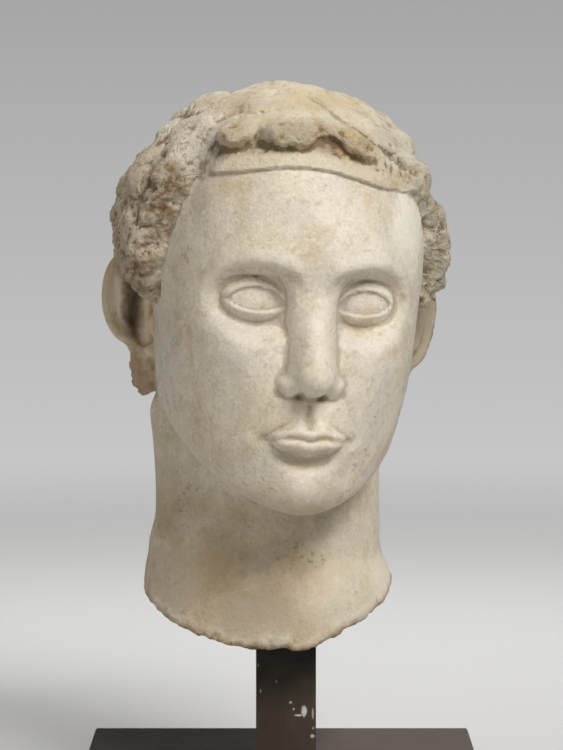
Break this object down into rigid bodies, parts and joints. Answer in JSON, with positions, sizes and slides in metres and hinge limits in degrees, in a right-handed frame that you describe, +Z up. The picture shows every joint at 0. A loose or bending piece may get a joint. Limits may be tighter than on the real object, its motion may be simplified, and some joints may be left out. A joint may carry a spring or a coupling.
{
  "type": "bust",
  "caption": "Weathered marble head of a youth with short curly hair, broken off at the neck, held up on a square dark post that stands on a flat dark board.",
  "frame": {"origin": "middle of the board's underside, where the object rests", "axes": "+Z up; +X to the viewer's right as the object is looked at from its front; +Y away from the viewer. The board's edges lie along X and Y, and the face looks towards -Y, turned a little towards +X."},
  "size_m": [0.265, 0.2686, 0.4765],
  "materials": {
    "marble": "weathered",
    "post_paint": "satin",
    "board_paint": "satin"
  },
  "bodies": {
    "root": {"marble_head": "marble", "post": "post_paint", "base_board": "board_paint"}
  },
  "joints": []
}
